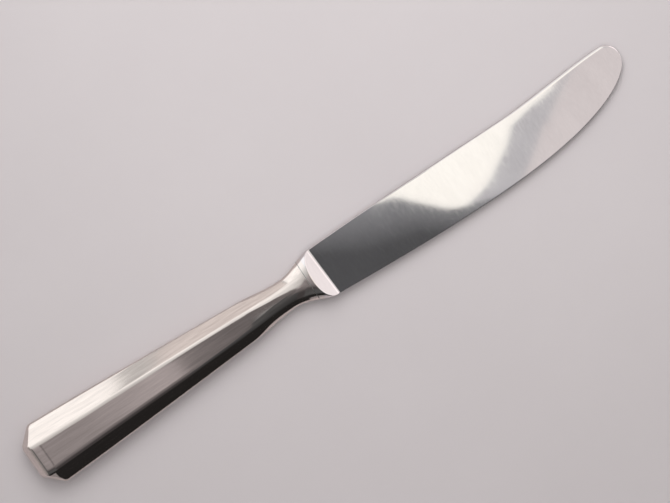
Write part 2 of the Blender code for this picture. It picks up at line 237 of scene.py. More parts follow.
# %% [markdown]
# ## Polished steel for the blade
#
# The blade was ground across its length and then polished, which leaves a bright mirror with faint lines
# from the spine to the edge and a short, fine hatching. The noises are drawn out across the knife this
# time, and stay very shallow, because a polished blade still shows clear reflections. The bolster belongs
# to the same forging but looks like the neck, so it takes the neck's satin and a warmer tint.

# %% Blade steel
STEEL_DARK, STEEL_LIGHT = (0.66, 0.611, 0.616), (0.73, 0.679, 0.684)
BOLSTER_TINT = (0.70, 0.63, 0.6)
POLISHED_OVER = (97.0, 97.3)
GRINDING_DEPTH = 0.0000002

blade_steel, start = new_finish("blade_steel")
clouds = fine_lines(start, (160.0, 60.0, 60.0), seed=5.0)
grinding = fine_lines(start, (4200.0, 25.0, 25.0), seed=7.0)
hatching = fine_lines(start, (2600.0, 420.0, 420.0), seed=13.0)
satin = 1.0 - along_knife(start, *POLISHED_OVER)
steel_tint = blend_colours(start, 0.6 * clouds + 0.4 * hatching, STEEL_DARK, STEEL_LIGHT)
finish_surface(
    start,
    blend_colours(start, satin, steel_tint, BOLSTER_TINT),
    0.028 + 0.012 * grinding + 0.008 * clouds + 0.026 * hatching**2.0 + NECK_SATIN * satin,
    grinding,
    GRINDING_DEPTH,
)
print("blade finish nodes:", len(blade_steel.node_tree.nodes))

# %% [markdown]
# ## Solder and cement
#
# The solder was filed flush and has dulled: a greyer metal with small pits. The cement inside the handle
# is a baked filler of resin and chalk, pale brown and grainy. Neither shows much, but each piece inside is
# made of its own stuff. The cement's solid is already right and only takes a finish.

# %% Solder and cement
SOLDER_DARK, SOLDER_LIGHT, PIT_DEPTH = (0.40, 0.39, 0.37), (0.55, 0.54, 0.52), 0.00001
CEMENT_DARK, CEMENT_LIGHT, GRAIN_DEPTH = (0.36, 0.28, 0.20), (0.58, 0.50, 0.41), 0.00008

solder_grey, start = new_finish("solder_grey")
pits = fine_lines(start, (2600.0, 2600.0, 2600.0), seed=2.0)
pitted = blend_colours(start, pits, SOLDER_DARK, SOLDER_LIGHT)
finish_surface(start, pitted, 0.32 + 0.2 * pits, pits, PIT_DEPTH)

handle_cement, start = new_finish("handle_cement")
grains = fine_lines(start, (1500.0, 1500.0, 1500.0), detail=5.0, seed=9.0)
grainy = blend_colours(start, grains, CEMENT_DARK, CEMENT_LIGHT)
finish_surface(start, grainy, 0.8 + 0.15 * grains, grains, GRAIN_DEPTH, metallic=0.0)
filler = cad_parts["handle_filler"]
filler.data.materials.clear()
filler.data.materials.append(handle_cement)
print("cement on:", filler.name)

# %% [markdown]
# ## Lines drawn through a few stops
#
# A pattern maker draws a knife from a few measured places with a bent strip of wood between them. The
# curve here does the same: it runs through stops with a value and a slope. Where two faces meet, a file
# breaks the corner, and here the lower or higher of two heights with a soft change does that.


# %% Curves
def smoothstep(x, start, end):
    t = np.clip((x - start) / (end - start), 0, 1)
    return t * t * (3 - 2 * t)


def curve(x, stops):
    """Smooth curve through stops of (x, value, slope), straight beyond the first and the last."""
    x = np.asarray(x, float)
    (x0, v0, m0), (x1, v1, m1) = stops[0], stops[-1]
    value = np.where(x < x0, v0 + (x - x0) * m0, v1 + (x - x1) * m1)
    for (x0, v0, m0), (x1, v1, m1) in zip(stops, stops[1:]):
        t = np.clip((x - x0) / (x1 - x0), 0, 1)
        piece = v0 * (2 * t**3 - 3 * t**2 + 1) + v1 * (3 * t**2 - 2 * t**3)
        piece += (x1 - x0) * (m0 * (t**3 - 2 * t**2 + t) + m1 * (t**3 - t**2))
        value = np.where((x >= x0) & (x <= x1), piece, value)
    return value


def smooth_min(a, b, blend):
    """The lower of two heights, with the corner between them rounded over the blend."""
    near = np.clip(1 - np.abs(a - b) / blend, 0, 1)
    return np.minimum(a, b) - near * near * blend / 4


def smooth_max(a, b, blend):
    return -smooth_min(-a, -b, blend)


print("half way up a step:", float(smoothstep(0.5, 0.0, 1.0)))

# %% [markdown]
# ## The lines of the handle
#
# In section the handle is a flat, two bevels and a narrow upright side on each face; towards the blade
# these facets melt into a round neck. Each facet is a plane whose distance from the middle line changes
# along the knife, so the whole handle is given by a few lines: how wide, how thick, how wide the flat is,
# and where the clipped corners of the butt and its leaning end cut in. Near the end the flat and the
# bevels drop a little, which gives the butt its narrow end facets.

# %% Handle lines
HANDLE_LENGTH, MOUTH_JOINT = 95.5, 0.2
BOLSTER_BACK = HANDLE_LENGTH + MOUTH_JOINT
BLADE_START = 100.3
ROOT_SPINE, ROOT_EDGE = 7.77, -8.07  # the blade's outline where it leaves the bolster
SIDE_LAND = 1.0  # half the height of the upright side
BUTT_HALF_WIDTH, END_HALF_WIDTH = 10.05, 4.95
CORNER_LENGTH, CORNER_LEAN, CORNER_ROUNDING = 5.4, 0.5526, 0.4
END_LEAN, FLAT_DROP = 2.1, 0.45  # how far the end wall leans in, and how far the end facets drop there
DROP_BLEND, FLAT_BLEND, WALL_BLEND = 0.6, 0.28, 1.8
NECK_START, NECK_AT = 75.0, 88.5
NECK_START_HALF_THICKNESS = 3.3
FLAT_TAPER = (NECK_START_HALF_THICKNESS - BUTT_HALF_THICKNESS) / (NECK_START - FLAT_START)

# Stops of the lines: place on the ruler, value there, slope there
WIDTH_STOPS = [
    (CORNER_LENGTH, BUTT_HALF_WIDTH, -0.046),
    (NECK_START, 6.0, -0.064),
    (NECK_AT, 4.7, 0.0),
    (HANDLE_LENGTH, 6.45, 0.4),
    (BLADE_START, (ROOT_SPINE - ROOT_EDGE) / 2, 0.0),
]
THICKNESS_STOPS = [
    (FLAT_START, BUTT_HALF_THICKNESS, FLAT_TAPER),
    (NECK_START, NECK_START_HALF_THICKNESS, FLAT_TAPER),
    (NECK_AT, 2.7, 0.0),
    (HANDLE_LENGTH, 3.15, 0.2),
    (RAMP_TOP, BOLSTER_HALF_THICKNESS, 0.2),
]
FLAT_STOPS = [
    (FLAT_START, 4.65, -0.035),
    (NECK_START, 2.4, -0.06),
    (NECK_AT, 0.8, -0.08),
    (HANDLE_LENGTH, 0.5, 0.0),
]


def full_half_width(x):
    return curve(x, WIDTH_STOPS)


def body_half_thickness(x):
    return curve(x, THICKNESS_STOPS)


def flat_half_width(x):
    return curve(x, FLAT_STOPS)


def corner_half_width(x):
    """Half width to the clipped corners of the butt, which are slightly rounded at the very end."""
    line = END_HALF_WIDTH + (BUTT_HALF_WIDTH - END_HALF_WIDTH) * x / CORNER_LENGTH
    inside = np.clip(1 - x / CORNER_ROUNDING, 0, 1)
    return line - CORNER_ROUNDING * (1 - np.sqrt(1 - inside**2))


def end_drop(x):
    """How far the facets round the end of the butt lie below the long ones."""
    return FLAT_DROP * smooth_max(FLAT_START - x, 0.0, DROP_BLEND) / (FLAT_START - END_LEAN)


def half_thickness(x):
    """Half thickness of the body, with the end facet and the leaning wall at the end of the butt."""
    slope = BUTT_HALF_THICKNESS - FLAT_DROP * (FLAT_START - x) / (FLAT_START - END_LEAN)
    end_top = BUTT_HALF_THICKNESS - FLAT_DROP
    wall = SIDE_LAND + (end_top - SIDE_LAND) * x / END_LEAN
    return smooth_min(smooth_min(body_half_thickness(x), slope, FLAT_BLEND), wall, WALL_BLEND)


print("half width at the neck:", float(full_half_width(NECK_AT)), "mm")

# %% [markdown]
# ## How the facets melt into the neck
#
# The ridges are crisp along the grip and fade out at the neck. Four more lines say so: how much of a round
# section takes over, how square that section is, how crisp the ridges beside the flat are, and how soft
# the rims at the sides. As lines along the knife they can be changed one at a time.

# %% Melting lines
NECK_SHARE = 0.35  # of the round section, along the neck; the mouth has all of it
NECK_MELT, MOUTH_MELT = (75.3, 86.0), (90.0, 95.4)
NECK_SQUARENESS, BOLSTER_SQUARER, SQUARER_OVER = 1.75, 0.65, (92.5, 98.0)
GRIP_CRISPNESS, CRISPNESS_LOST, LOST_OVER = 1.3, 0.6, (45, 90)
NECK_SOFTNESS, SOFTER_OVER = 0.45, (73, 84)


def roundness(x):
    return NECK_SHARE * smoothstep(x, *NECK_MELT) + (1 - NECK_SHARE) * smoothstep(x, *MOUTH_MELT)


def squareness(x):
    """2 is an ellipse; the neck is a little pointed, and the section is squarer in the bolster."""
    return NECK_SQUARENESS + BOLSTER_SQUARER * smoothstep(x, *SQUARER_OVER)


def crispness(x):
    return GRIP_CRISPNESS - CRISPNESS_LOST * smoothstep(x, *LOST_OVER)


def softness(x):
    return NECK_SOFTNESS * smoothstep(x, *SOFTER_OVER)


print("share of the round section at the neck:", round(float(roundness(NECK_AT)), 2))

# %% [markdown]
# ## A net for the half shell
#
# The two half shells are stampings of one die, so one net serves both. It is a grid of rows along the
# knife and columns that turn from one seam to the other. Rows crowd together where the butt has edges,
# and columns follow the ridges, so the ridges stay crisp with few faces.

# %% Rows
END_CROWD = np.array([0, 0.02, 0.06, 0.12, 0.2, 0.3, 0.42])
EDGE_CROWD = np.array([0.03, 0.08, 0.14, 0.22, 0.32, 0.44])  # distances of rows from an edge of the butt


def shell_rows():
    edges = [end + side * EDGE_CROWD for end in (END_LEAN, FLAT_START, CORNER_LENGTH) for side in (-1, 1)]
    butt = np.concatenate([END_CROWD, *edges, np.linspace(0.55, 8, 16)])
    grip, neck = np.arange(10, 70, 2.5), np.linspace(70, HANDLE_LENGTH, 56)
    return np.unique(np.round(np.concatenate([butt, grip, neck]), 3))


def body_top(x):
    """Height of the long flat, carried on level to the end of the butt."""
    return body_half_thickness(np.maximum(x, FLAT_START))


def lean_at(x):
    """How steeply the bevel falls from the flat to the side."""
    return (body_top(x) - SIDE_LAND) / (full_half_width(x) - flat_half_width(x))


def bevel_peak(x):
    """Height at which the bevel's plane passes over the middle line."""
    return body_top(x) + lean_at(x) * flat_half_width(x)


def corner_reach(x):
    """Half width at which the clipped corner's plane passes the seam."""
    return corner_half_width(x) + CORNER_LEAN * SIDE_LAND


rows = shell_rows()
bevel_lean, corner_top, height = lean_at(rows), corner_reach(rows), half_thickness(rows)
bevel_top = bevel_peak(rows) - end_drop(rows)
print("rows:", len(rows), "from", rows[0], "to", rows[-1], "mm")

# %% Columns
SEAM_GAP = 0.1  # from the seam's middle to the shell
SIDE_COLUMNS, BEVEL_COLUMNS, FLAT_COLUMNS = 8, 18, 14
LEAST_TURN = 0.02  # of the bevel, where the corner has almost cut it away


def crowded(count, bend=np.pi):
    """Shares from 0 to 1 that crowd together at both ends, or only at 0 with half that bend."""
    return (1 - np.cos(bend * np.arange(count) / count)) / (1 - np.cos(bend))


def spread(first, last, shares):
    """Angles between two for each row."""
    return first[:, None] + (last - first)[:, None] * shares


# Where the side ends and the flat begins at each row, as angles round the middle line
met = (corner_top - CORNER_LEAN * bevel_top) / (1 - CORNER_LEAN * bevel_lean)
side_y = np.minimum(met, full_half_width(rows))
side_z = np.clip(bevel_top - bevel_lean * side_y, SIDE_LAND, height)
flat_y = np.minimum((bevel_top - height) / bevel_lean, corner_top - CORNER_LEAN * height)
seam_turn = np.arctan2(SEAM_GAP, np.minimum(full_half_width(rows), corner_half_width(rows)))
side_turn = np.arctan2(side_z, np.minimum(side_y, corner_top - CORNER_LEAN * side_z))
flat_turn = np.maximum(np.arctan2(height, flat_y), side_turn + LEAST_TURN)
quarter = np.concatenate(
    [
        spread(seam_turn, side_turn, crowded(SIDE_COLUMNS)),
        spread(side_turn, flat_turn, crowded(BEVEL_COLUMNS)),
        spread(flat_turn, np.pi / 2, crowded(FLAT_COLUMNS, np.pi / 2)),
    ],
    axis=1,
)
turns = np.concatenate([quarter, np.full((len(rows), 1), np.pi / 2), np.pi - quarter[:, ::-1]], axis=1)
ROWS, COLUMNS = turns.shape
print("net:", ROWS, "rows of", COLUMNS, "points")

# %% [markdown]
# ## What the net carries
#
# A shell has an outside, an inside, and narrow bands that join them at the seam, the mouth and the butt,
# so the mesh is closed like the real sheet of metal. Its points are still all in one place: each only
# carries the distances of the facet planes at its row, as attributes that Geometry Nodes can read.


# %% Faces of the net
def net_faces(outside, inside):
    """Faces of both sides, then the bands along the seam, at the mouth and at the butt."""
    faces = []
    for i in range(ROWS - 1):
        for j in range(COLUMNS - 1):
            faces.append((outside[i, j], outside[i, j + 1], outside[i + 1, j + 1], outside[i + 1, j]))
            faces.append((inside[i, j], inside[i + 1, j], inside[i + 1, j + 1], inside[i, j + 1]))
        faces.append((outside[i, 0], outside[i + 1, 0], inside[i + 1, 0], inside[i, 0]))
        faces.append((outside[i, -1], inside[i, -1], inside[i + 1, -1], outside[i + 1, -1]))
    for j in range(COLUMNS - 1):
        faces.append((outside[-1, j], outside[-1, j + 1], inside[-1, j + 1], inside[-1, j]))
    faces.append(tuple(outside[0, ::-1]))
    faces.append(tuple(inside[0]))
    faces.append((outside[0, 0], inside[0, 0], inside[0, -1], outside[0, -1]))
    return [tuple(map(int, face)) for face in faces]


numbers = np.arange(2 * ROWS * COLUMNS).reshape(2, ROWS, COLUMNS)
net = bpy.data.meshes.new("shell_net")
net.from_pydata(np.zeros((numbers.size, 3)), [], net_faces(*numbers))
print("net faces:", len(net.polygons))

# %% Attributes of the net
WALL = 0.7
CAVITY_START = END_LEAN + WALL
inner_rows = CAVITY_START + rows * (HANDLE_LENGTH - CAVITY_START) / HANDLE_LENGTH
CORNER_RUN = math.hypot(1, CORNER_LEAN)


def both(values_at, drop=0.0):
    """One value for each point of the outside and the inside; only the outside drops at the end."""
    outside, inside = values_at(rows) - drop, values_at(inner_rows)
    return np.concatenate([np.repeat(outside, COLUMNS), np.repeat(inside, COLUMNS)])


carried = {
    "along": both(lambda x: x),
    "turn": np.tile(turns.ravel(), 2),
    "inset": np.repeat([0.0, 1.0], ROWS * COLUMNS),
    "side": both(full_half_width),
    "corner": both(lambda x: corner_reach(x) / CORNER_RUN),
    "bevel_lean": both(lean_at),
    "bevel": both(
        lambda x: bevel_peak(x) / np.hypot(1, lean_at(x)), drop=end_drop(rows) / np.hypot(1, bevel_lean)
    ),
    "flat": both(half_thickness),
    "roundness": both(roundness),
    "squareness": both(squareness),
    "crispness": both(crispness),
    "softness": both(softness),
}
for name, values in carried.items():
    net.attributes.new(name, "FLOAT", "POINT").data.foreach_set("value", values.astype(np.float32))
print("each point carries:", sorted(carried))

# %% [markdown]
# ## Trees with named sizes
#
# A Geometry Nodes tree is a recipe, and its inputs are the sizes a maker would want to change. These
# helpers give a tree its inputs, end it with smooth faces, sharp rims and a finish, and keep what it
# makes as a plain mesh.

# %% Tree helpers
SHARP_ANGLE = math.radians(38)  # edges that bend more than this stay sharp


def new_tree(name, sizes):
    """A Geometry Nodes tree with a named input for each size, and a wire to each of them."""
    tree = bpy.data.node_groups.new(name, "GeometryNodeTree")
    tree.interface.new_socket("Geometry", in_out="INPUT", socket_type="NodeSocketGeometry")
    tree.interface.new_socket("Geometry", in_out="OUTPUT", socket_type="NodeSocketGeometry")
    for label, value in sizes.items():
        socket = tree.interface.new_socket(label, in_out="INPUT", socket_type="NodeSocketFloat")
        socket.default_value = value
    entry = tree.nodes.new("NodeGroupInput")
    return tree, {socket.name: Wire(tree, socket) for socket in entry.outputs if socket.name}


def close_tree(start, shape, material):
    """Smooth faces with sharp rims, no instances left, and the finish."""
    bend = start.node("GeometryNodeInputMeshEdgeAngle", out="Unsigned Angle")
    sharp = start.node("FunctionNodeCompare", {"operation": "GREATER_THAN"}, {0: bend, 1: SHARP_ANGLE})
    smooth, crease = {"Shade Smooth": True}, {"Selection": sharp, "Shade Smooth": False}
    shape = start.node("GeometryNodeSetShadeSmooth", {"domain": "FACE"}, {0: shape, **smooth})
    shape = start.node("GeometryNodeSetShadeSmooth", {"domain": "EDGE"}, {0: shape, **crease})
    shape = start.node("GeometryNodeRealizeInstances", {}, {0: shape})
    shape = start.node("GeometryNodeSetMaterial", {}, {0: shape, "Material": material})
    start.node("NodeGroupOutput", {}, {0: shape})


def made_by_nodes(name, mesh, tree, sizes):
    """An object whose mesh is what the tree makes of the given one."""
    made = in_scene(name, mesh)
    modifier = made.modifiers.new(tree.name, "NODES")
    modifier.node_group = tree
    for item in tree.interface.items_tree:
        if item.name in sizes:
            modifier[item.identifier] = float(sizes[item.name])
    ready = made.evaluated_get(bpy.context.evaluated_depsgraph_get())
    shaped = bpy.data.meshes.new_from_object(ready)
    made.modifiers.remove(modifier)
    made.data = shaped
    shaped.name = name
    return made


print("edges stay sharp above", round(math.degrees(SHARP_ANGLE)), "degrees")

# %% [markdown]
# ## The half shell, by a rule
#
# Along any direction from the middle line, a facet is reached at its distance divided by how far the
# direction leans towards it, and the nearest facet is the surface. A soft version of "nearest" rounds the
# ridges and the rims, each by its own input. The same rule with every facet moved in by the wall gives
# the inside. A modelling tool could bevel the ridges as well, but it would not let them melt into the
# round neck, and this does.

# %% Half shell tree
shell_sizes = {"Wall": WALL, "Ridge rounding": 0.17, "Rim rounding": 0.07, "Seam gap": SEAM_GAP}
shell_tree, given = new_tree("half_shell", shell_sizes)
start = given["Geometry"]
kept = {
    name: start.node("GeometryNodeInputNamedAttribute", {"data_type": "FLOAT"}, {"Name": name}, "Attribute")
    for name in carried
}
inset = kept["inset"] * given["Wall"]
across = start.maths("ABSOLUTE", start.maths("COSINE", kept["turn"]))
upward = start.maths("SINE", kept["turn"])


def closeness(lean_across, lean_up, distance):
    """How near a facet is along this direction: one over the distance to it."""
    return start.maths("MAXIMUM", across * lean_across + upward * lean_up, 0.0) / (distance - inset)


def softly_nearest(one, other, rounding):
    """The nearer of two facets, with the ridge between them rounded off over a share of the distance."""
    nearest = start.maths("MAXIMUM", one, other)
    beside = start.maths("ABSOLUTE", one - other) / (nearest * rounding)
    near = start.maths("MAXIMUM", 1.0 - beside, 0.0)
    return nearest * (1.0 + rounding * near * near / 4.0)


bevel_run = start.maths("SQRT", 1.0 + kept["bevel_lean"] * kept["bevel_lean"])
side = closeness(1.0, 0.0, kept["side"])
corner = closeness(1 / CORNER_RUN, CORNER_LEAN / CORNER_RUN, kept["corner"])
bevel = closeness(kept["bevel_lean"] / bevel_run, 1.0 / bevel_run, kept["bevel"])
flat = closeness(0.0, 1.0, kept["flat"])

rim = given["Rim rounding"] + kept["softness"]
top = softly_nearest(bevel, flat, given["Ridge rounding"] / kept["crispness"])
faceted = 1.0 / softly_nearest(softly_nearest(side, corner, rim), top, rim)
power = kept["squareness"]
wide, high = across / (kept["side"] - inset), upward / (kept["flat"] - inset)
rounded = (wide**power + high**power) ** (-1.0 / power)
radius = faceted + (rounded - faceted) * kept["roundness"]
place = start.node(
    "ShaderNodeCombineXYZ",
    {},
    {
        "X": kept["along"],
        "Y": radius * start.maths("COSINE", kept["turn"]),
        "Z": start.maths("MAXIMUM", radius * upward, given["Seam gap"]),
    },
)
shaped_net = start.node("GeometryNodeSetPosition", {}, {"Geometry": start, "Position": place})
close_tree(start, shaped_net, handle_silver)
print("half shell nodes:", len(shell_tree.nodes))

# %% [markdown]
# ## Front and back shell
#
# Both halves came out of the same die, and the back one was turned over before they were soldered. So the
# tree runs once, and the back shell is a copy turned half round the middle line. A mirrored copy would
# turn its faces inside out.


# %% Two half shells
def points_of(mesh):
    return np.array([vertex.co for vertex in mesh.vertices])


def settle(piece, points):
    """Puts points on the ruler into the piece's mesh as metres in the frame."""
    piece.data.vertices.foreach_set("co", on_ruler(points).astype(np.float32).ravel())
    piece.data.update()


front_shell = made_by_nodes("front_shell", net, shell_tree, shell_sizes)
for name in carried:
    front_shell.data.attributes.remove(front_shell.data.attributes[name])
shell_points = points_of(front_shell.data)
back_shell = in_scene("back_shell", front_shell.data.copy())
settle(front_shell, shell_points)
settle(back_shell, shell_points * (1, -1, -1))
for shell, node in ((front_shell, "handle_front_shell"), (back_shell, "handle_back_shell")):
    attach(shell, "root")
    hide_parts(node)
print("shell points from", shell_points.min(0).round(2), "to", shell_points.max(0).round(2))

# %% [markdown]
# ## Solder in the seams
#
# A thin run of solder closes the seam along both narrow sides and the butt, and a ring of it joins the
# handle's mouth to the bolster. Both are a small flat section that follows a path, which is what Curve to
# Mesh does, so one tree makes both: the path comes in as edges and the section's width and thickness are
# inputs. The paths are taken from the rims of the shells, so the solder lies exactly between them.

# %% Solder tree
SOLDER_WIDTH, SOLDER_THICKNESS = 0.66, 0.16
SEAM_SET_IN = 0.02  # of the solder, from the outside of the shells

solder_tree, given = new_tree("solder_run", {"Width": SOLDER_WIDTH, "Thickness": SOLDER_THICKNESS})
start = given["Geometry"]
path = start.node("GeometryNodeMeshToCurve", {}, {0: start})
section = start.node(
    "GeometryNodeCurvePrimitiveQuadrilateral",
    {"mode": "RECTANGLE"},
    {"Width": given["Width"], "Height": given["Thickness"]},
)
run = start.node(
    "GeometryNodeCurveToMesh", {}, {"Curve": path, "Profile Curve": section, "Fill Caps": True}
)
close_tree(start, run, solder_grey)


def path_net(name, points, closed):
    count = len(points)
    edges = [(i, (i + 1) % count) for i in range(count if closed else count - 1)]
    mesh = bpy.data.meshes.new(name)
    mesh.from_pydata([tuple(map(float, point)) for point in points], edges, [])
    return mesh


outer, inner = shell_points.reshape(2, ROWS, COLUMNS, 3)

# The seam's path: the shell's rim from mouth to butt and back, moved in by half the solder's width
rim = np.concatenate([outer[::-1, 0, :2], outer[:, -1, :2]])
run_dir = np.gradient(rim, axis=0)
run_dir /= np.linalg.norm(run_dir, axis=1)[:, None]
seam_path = rim + np.stack([-run_dir[:, 1], run_dir[:, 0]], axis=1) * (SOLDER_WIDTH / 2 + SEAM_SET_IN)
seam_path = np.column_stack([seam_path, np.zeros(len(seam_path))])

# The mouth's path: half way between the outside and the inside of both shells, in the middle of the joint
half_mouth = (outer[-1] + inner[-1]) / 2
mouth_path = np.concatenate([half_mouth, half_mouth * (1, -1, -1)])
mouth_path[:, 0] = HANDLE_LENGTH + MOUTH_JOINT / 2

for name, node, path_points, closed, width, thickness in (
    ("seam_run", "seam_solder", seam_path, False, SOLDER_WIDTH, SOLDER_THICKNESS),
    ("mouth_ring", "mouth_solder", mouth_path, True, SOLDER_THICKNESS, SOLDER_WIDTH),
):
    sizes = {"Width": width, "Thickness": thickness}
    piece = made_by_nodes(name, path_net(name, path_points, closed), solder_tree, sizes)
    run_points = points_of(piece.data)
    settle(piece, run_points)
    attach(piece, "root")
    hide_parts(node)
    print(name, "from", run_points.min(0).round(2), "to", run_points.max(0).round(2))

# %% [markdown]
# ## The lines of the forging
#
# Bolster and blade are one piece of steel. The bolster carries the flare of the handle on and is cut off
# by a sloping face, and the blade runs out of that face with a small fillet. The blade has a rounded
# spine that rises a little towards the tip, a full belly, and faces that are almost flat but thin down to
# the edge. Outline and thickness are drawn as lines again, because the reflections on a polished face
# show every bump that a hand-pulled mesh would have.

# %% Forging lines
SPINE_LEVEL_AT, SPINE_HEIGHT = 133.15, 8.22
RISE_START, RISE_END, TIP_HEIGHT = 166.0, 203.0, 10.2
BELLY_AT, BELLY_DEPTH = 150.0, -10.09
NOSE, NOSE_FLAT = 5.83, 0.4  # where the tip ends, and half the flat that is left there
NOSE_SWEEP, EDGE_SWEEP = 1.6, 2.4  # 2 is an ellipse
SPINE_THICKNESS, TIP_THICKNESS = 2.2, 1.0
ROOT_EDGE_THICKNESS, EDGE_THICKNESS, EDGE_GRIND = 0.9, 0.3, 30  # the edge thins over this length
WEDGE_END = 178.0  # the wedge no longer follows the rising edge beyond this
FACE_BULGE, EDGE_ROUND = 0.03, 0.15
LEAST_RIM = 0.12  # share of the thickness that is left at the outline


def spine_line(x):
    """The back of the blade, before the corner of the tip is rounded off."""
    straight = curve(x, [(BLADE_START, ROOT_SPINE, 0.035), (SPINE_LEVEL_AT, SPINE_HEIGHT, 0.0)])
    return straight + (TIP_HEIGHT - straight) * smoothstep(x, RISE_START, RISE_END)


def spine_y(x):
    share = np.clip((x - RISE_END) / (KNIFE_LENGTH - RISE_END), 0, 1)
    nose = NOSE + NOSE_FLAT
    return nose + (spine_line(x) - nose) * np.sqrt(1 - share**NOSE_SWEEP)


def edge_y(x):
    straight = curve(x, [(BLADE_START, ROOT_EDGE, -0.065), (BELLY_AT, BELLY_DEPTH, 0.0)])
    share = np.clip((x - BELLY_AT) / (KNIFE_LENGTH - BELLY_AT), 0, 1)
    nose = NOSE - NOSE_FLAT
    swept = nose + (BELLY_DEPTH - nose) * np.sqrt(np.maximum(1 - share**EDGE_SWEEP, 0))
    return np.where(x < BELLY_AT, straight, swept)


def outline(x):
    """Highest and lowest y of the bolster and the blade."""
    lean = (ROOT_SPINE + ROOT_EDGE) / 2 * smoothstep(x, HANDLE_LENGTH, BLADE_START)
    width = full_half_width(x)
    in_blade = x >= BLADE_START
    return np.where(in_blade, spine_y(x), lean + width), np.where(in_blade, edge_y(x), lean - width)


def spine_round(x):
    """Width of the rounding along the spine, which grows towards the tip."""
    return 0.25 + 0.15 * smoothstep(x, 112.0, 150.0) + 0.4 * smoothstep(x, 158.0, 185.0)


def square_to(line, x, upright):
    """Distance square to an outline, from the distance straight across the knife."""
    step = min(0.01, (KNIFE_LENGTH - x) / 2 + 0.0001)
    slope = (line(x + step) - line(x - step)) / (2 * step)
    return upright / math.hypot(1, slope)


def blade_height(x, y, high, low):
    """Half thickness of the blade: a wedge with nearly flat faces, rounded off along its outline."""
    along = np.clip((x - BLADE_START) / (KNIFE_LENGTH - BLADE_START), 0, 1)
    ground = smoothstep(x, BLADE_START, BLADE_START + EDGE_GRIND)
    thick = (SPINE_THICKNESS + (TIP_THICKNESS - SPINE_THICKNESS) * along) / 2
    thin = (ROOT_EDGE_THICKNESS + (EDGE_THICKNESS - ROOT_EDGE_THICKNESS) * ground) / 2
    back = spine_line(max(x, BLADE_START))
    front = edge_y(np.clip(x, BLADE_START, WEDGE_END))
    share = np.clip((back - y) / (back - front), 0, 1)
    wedge = thick + (thin - thick) * share + FACE_BULGE * 4 * share * (1 - share)
    from_spine = np.clip(square_to(spine_y, x, high - y) / spine_round(x), 0, 1)
    from_edge = np.clip(square_to(edge_y, x, y - low) / EDGE_ROUND, 0, 1)
    rim = 1.0
    for near in (from_spine, from_edge):
        rim = rim * np.sqrt(1 - (1 - near) ** 2)
    return wedge * (LEAST_RIM + (1 - LEAST_RIM) * rim)


print("widest blade:", round(float(spine_y(BELLY_AT) - edge_y(BELLY_AT)), 2), "mm")

# %% [markdown]
# ## The forging, ring by ring
#
# A smith draws the steel out from tang to tip, and the mesh is made the same way: closed rings across the
# knife, each from the spine over the front face to the edge and back over the other face. The height of
# the surface over the middle plane is "the lower of bolster and slope, or the blade where that is
# higher", with soft corners. Cutting the slope with a Boolean would leave uneven faces beside the fillet,
# so the rings are simply dense there. The notched tang begins the same row of rings.

# %% Rings
SIDES = 64  # steps across one face
SLOPE = (BOLSTER_HALF_THICKNESS - SPINE_THICKNESS / 2) / (BLADE_START - RAMP_TOP)
SLOPE_BLEND, FILLET = 0.16, 0.3
TANG_LENGTH, TANG_SQUARENESS = 45.0, 10
TANG_END = BOLSTER_BACK - TANG_LENGTH
TANG_WIDE, TANG_HIGH = (2.1, 0.9), (1.3, 0.2)  # half sizes at the tang's end, and what they grow by
turn = np.pi * np.arange(SIDES + 1) / SIDES


def mirrored(x, y, z):
    """A closed ring: the front face from spine to edge, then the back face the other way."""
    front = np.column_stack([np.full(SIDES + 1, x), y, z])
    return np.concatenate([front, front[-2:0:-1] * (1, 1, -1)])


def blade_ring(x):
    high, low = outline(x)
    middle, half = (high + low) / 2, (high - low) / 2
    y = middle + half * np.cos(turn)
    power = squareness(x)
    bolster = float(body_half_thickness(x)) * (1 - np.abs(np.cos(turn)) ** power) ** (1 / power)
    slope = BOLSTER_HALF_THICKNESS - SLOPE * (x - RAMP_TOP)
    blade = blade_height(x, y, high, low)
    forged = smooth_min(bolster, np.full_like(bolster, slope), SLOPE_BLEND)
    z = smooth_max(forged, blade, FILLET) if x > RAMP_TOP else forged
    return mirrored(x, y, np.maximum(z, 0))


def tang_ring(x, notch):
    share = (x - TANG_END) / TANG_LENGTH
    wide, high = (least + growth * share for least, growth in (TANG_WIDE, TANG_HIGH))
    squarish = (1 - np.abs(np.cos(turn)) ** TANG_SQUARENESS) ** (1 / TANG_SQUARENESS)
    return mirrored(x, (wide - notch) * np.cos(turn), high * squarish)


print("slope of the bolster's face:", round(SLOPE, 3))

# %% Forging
NOTCHES, NOTCH_PITCH = 4, 7.5
NOTCH = ((-1.5, 0), (-0.9, 0.6), (0.9, 0.6), (1.5, 0))  # its profile: places along it, and depths
ROOT_END, NOSE_START = 102.4, 200.0  # rings are dense before the one and after the other

rings = [tang_ring(TANG_END, 0.0)]
for number in range(NOTCHES):
    notch_at = TANG_END + NOTCH_PITCH * (number + 0.5)
    rings += [tang_ring(notch_at + step, depth) for step, depth in NOTCH]
rings.append(tang_ring(BOLSTER_BACK, 0.0))
stations = np.concatenate(
    [
        np.linspace(BOLSTER_BACK, RAMP_TOP, 12, endpoint=False),
        np.linspace(RAMP_TOP, ROOT_END, 80, endpoint=False),
        np.linspace(ROOT_END, NOSE_START, 125, endpoint=False),
        KNIFE_LENGTH - (KNIFE_LENGTH - NOSE_START) * (1 - np.sin(np.pi / 2 * np.linspace(0, 1, 45))),
    ]
)
rings += [blade_ring(x) for x in stations]


